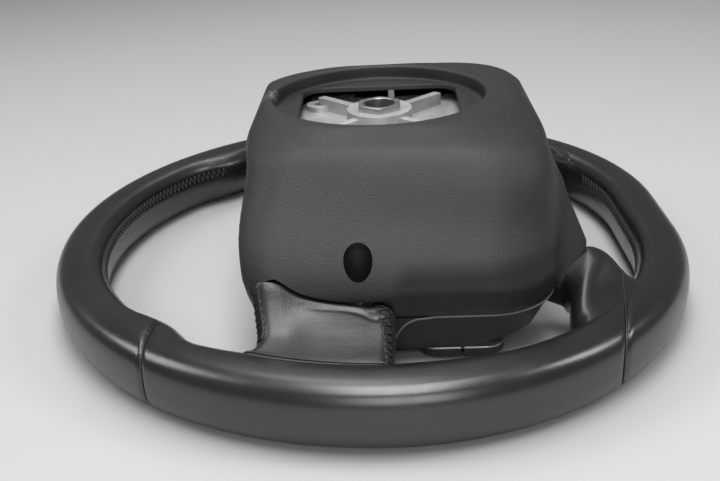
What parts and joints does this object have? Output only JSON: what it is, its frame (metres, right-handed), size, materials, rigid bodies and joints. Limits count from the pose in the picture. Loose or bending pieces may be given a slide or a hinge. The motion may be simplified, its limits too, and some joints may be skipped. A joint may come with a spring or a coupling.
{
  "type": "steering wheel",
  "caption": "Car steering wheel with a flat-bottomed leather rim, a deep moulded rear cover round the column hub, a sprung horn pad and sprung spoke keys.",
  "frame": {"origin": "centre of the mouth of the column bore, at the rear of the hub", "axes": "+Z along the column axis to the rear, +Y to twelve o'clock, +X to nine o'clock as the driver sees it"},
  "size_m": [0.37, 0.348, 0.106],
  "materials": {
    "cast_metal": "rough cast",
    "steel": "plain",
    "black_leather": "smooth, worn to a sheen",
    "grained_plastic": "fine pebble grain",
    "smooth_plastic": "satin",
    "key_plastic": "satin with bright edges",
    "inner_plastic": "plain",
    "board_green": "lacquered board",
    "dome_rubber": "plain",
    "cushion_fabric": "folded cloth"
  },
  "bodies": {
    "wheel": {"armature": "cast_metal", "hub_insert": "steel", "leather_top": "black_leather", "leather_right": "black_leather", "leather_left": "black_leather", "leather_bottom": "black_leather", "rear_cover": "grained_plastic", "cover_screws": "steel", "switch_bezel_right": "smooth_plastic", "switch_bezel_left": "smooth_plastic", "switch_housing_right": "inner_plastic", "switch_housing_left": "inner_plastic", "switch_board_right": "board_green", "switch_board_left": "board_green", "release_springs": "steel", "horn_springs": "steel", "dome_right_upper": "dome_rubber", "dome_right_lower": "dome_rubber", "dome_left_upper": "dome_rubber", "dome_left_lower": "dome_rubber"},
    "horn_pad": {"airbag_cover": "smooth_plastic", "airbag_housing": "steel", "inflator": "steel", "cushion_pack": "cushion_fabric", "guide_pins": "steel"},
    "key_right_upper": {"key_right_upper": "key_plastic"},
    "key_right_lower": {"key_right_lower": "key_plastic"},
    "key_left_upper": {"key_left_upper": "key_plastic"},
    "key_left_lower": {"key_left_lower": "key_plastic"}
  },
  "joints": [
    {"name": "horn_press", "type": "slide", "parent": "wheel", "child": "horn_pad", "axis": [0, 0, 1], "range_m": [0, 0.0025], "stiffness_N_per_m": 16000, "deforming": ["horn_springs"]},
    {"name": "key_right_upper_press", "type": "slide", "parent": "wheel", "child": "key_right_upper", "axis": [0, 0, 1], "range_m": [0, 0.0012], "stiffness_N_per_m": 2000, "deforming": ["dome_right_upper"]},
    {"name": "key_right_lower_press", "type": "slide", "parent": "wheel", "child": "key_right_lower", "axis": [0, 0, 1], "range_m": [0, 0.0012], "stiffness_N_per_m": 2000, "deforming": ["dome_right_lower"]},
    {"name": "key_left_upper_press", "type": "slide", "parent": "wheel", "child": "key_left_upper", "axis": [0, 0, 1], "range_m": [0, 0.0012], "stiffness_N_per_m": 2000, "deforming": ["dome_left_upper"]},
    {"name": "key_left_lower_press", "type": "slide", "parent": "wheel", "child": "key_left_lower", "axis": [0, 0, 1], "range_m": [0, 0.0012], "stiffness_N_per_m": 2000, "deforming": ["dome_left_lower"]}
  ]
}
